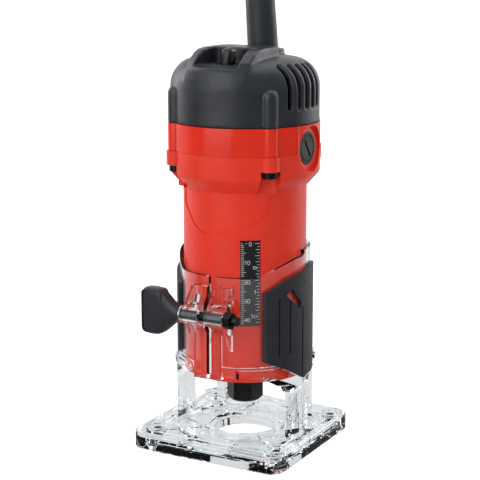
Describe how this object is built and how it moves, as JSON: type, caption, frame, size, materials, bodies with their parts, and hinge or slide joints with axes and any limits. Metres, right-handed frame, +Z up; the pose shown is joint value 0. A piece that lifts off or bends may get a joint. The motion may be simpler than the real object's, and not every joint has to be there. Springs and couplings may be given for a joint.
{
  "type": "trim router",
  "caption": "Slim corded trim router: a round motor body that slides in a clear split-sleeve base with a clamp knob, rubber grips and a ribbed square foot.",
  "frame": {"origin": "where the spindle axis meets the underside of the sole, at the centre of the cutter opening", "axes": "+Z up along the spindle, -Y the front with the clamp ears, +X to the right of someone facing the front"},
  "size_m": [0.2885, 0.1186, 0.354],
  "materials": {
    "clear_plastic": "clear moulded polycarbonate, glossy",
    "red_plastic": "glass-filled nylon, fine satin",
    "charcoal_plastic": "fine textured moulding",
    "black_plastic": "smooth moulding",
    "grip_rubber": "soft touch elastomer",
    "cord_rubber": "matt rubber sheath",
    "scale_black": "printed label, semi-matt",
    "black_steel": "black oxide",
    "steel": "ground",
    "lamination": "stacked electrical steel",
    "copper": "enamelled copper wire",
    "brass": "machined",
    "carbon": "pressed carbon",
    "fan_plastic": "moulded nylon"
  },
  "bodies": {
    "base": {"clear_base": "clear_plastic", "sole_plate": "clear_plastic", "sole_screws": "black_steel", "right_grip": "grip_rubber", "left_grip": "grip_rubber", "clamp_nut": "black_steel", "cord_coil": "cord_rubber", "coil_tie": "black_plastic", "plug": "black_plastic", "plug_pins": "steel"},
    "motor": {"motor_housing": "red_plastic", "upper_ring": "red_plastic", "top_cap": "charcoal_plastic", "scale_plate": "scale_black", "housing_screws": "black_steel", "brush_cap_right": "charcoal_plastic", "brush_cap_left": "charcoal_plastic", "brush_holder_right": "brass", "brush_holder_left": "brass", "carbon_brushes": "carbon", "brush_springs": "steel", "switch_body": "black_plastic", "switch_plate": "black_plastic", "cord_guard": "cord_rubber", "cord_clamp": "black_plastic", "cord_clamp_screws": "steel", "stator_core": "lamination", "field_coil_front": "copper", "field_coil_back": "copper", "air_baffle": "black_plastic", "bearing_retainer": "steel", "lower_bearing_outer": "steel", "upper_bearing_outer": "steel", "cord": "cord_rubber"},
    "clamp_travel": {"clamp_washer": "steel"},
    "clamp_handle": {"clamp_screw": "black_steel", "clamp_knob": "charcoal_plastic"},
    "switch_toggle": {"switch_lever": "black_plastic"},
    "rotor": {"spindle": "steel", "armature_core": "lamination", "armature_windings": "copper", "commutator": "copper", "fan": "fan_plastic", "spindle_ring": "steel", "lower_bearing_inner": "steel", "upper_bearing_inner": "steel"},
    "lower_cage": {"lower_bearing_balls": "steel"},
    "upper_cage": {"upper_bearing_balls": "steel"},
    "collet_body": {"collet": "steel"},
    "collet_nut_body": {"collet_nut": "black_steel"}
  },
  "joints": [
    {"name": "depth_slide", "type": "slide", "parent": "base", "child": "motor", "axis": [0, 0, 1], "range_m": [-0.018, 0.022]},
    {"name": "clamp_feed", "type": "slide", "parent": "base", "child": "clamp_travel", "axis": [-1, 0, 0], "range_m": [0, 0.0012]},
    {"name": "clamp_turn", "type": "hinge", "parent": "clamp_travel", "child": "clamp_handle", "pos_m": [0, -0.043, 0.0768], "axis": [-1, 0, 0], "range_deg": [0, 541]},
    {"name": "switch_tilt", "type": "hinge", "parent": "motor", "child": "switch_toggle", "pos_m": [0.001, -0.0208, 0.1993], "axis": [0, -1, 0], "range_deg": [0, 16]},
    {"name": "spindle_spin", "type": "hinge", "parent": "motor", "child": "rotor", "pos_m": [0, 0, 0.1], "axis": [0, 0, -1], "continuous": true},
    {"name": "lower_cage_spin", "type": "hinge", "parent": "motor", "child": "lower_cage", "pos_m": [0, 0, 0.051], "axis": [0, 0, -1], "continuous": true},
    {"name": "upper_cage_spin", "type": "hinge", "parent": "motor", "child": "upper_cage", "pos_m": [0, 0, 0.1758], "axis": [0, 0, -1], "continuous": true},
    {"name": "collet_feed", "type": "slide", "parent": "rotor", "child": "collet_body", "axis": [0, 0, -1], "range_m": [0, 0.001]},
    {"name": "collet_nut_turn", "type": "hinge", "parent": "collet_body", "child": "collet_nut_body", "pos_m": [0, 0, 0.029], "axis": [0, 0, -1], "range_deg": [0, 361]}
  ],
  "couplings": [
    {"joint": "clamp_turn", "follows": "clamp_feed", "rad_per_m": 7854},
    {"joint": "lower_cage_spin", "follows": "spindle_spin", "ratio": 0.407},
    {"joint": "upper_cage_spin", "follows": "spindle_spin", "ratio": 0.389},
    {"joint": "collet_nut_turn", "follows": "collet_feed", "rad_per_m": 6283.2}
  ]
}
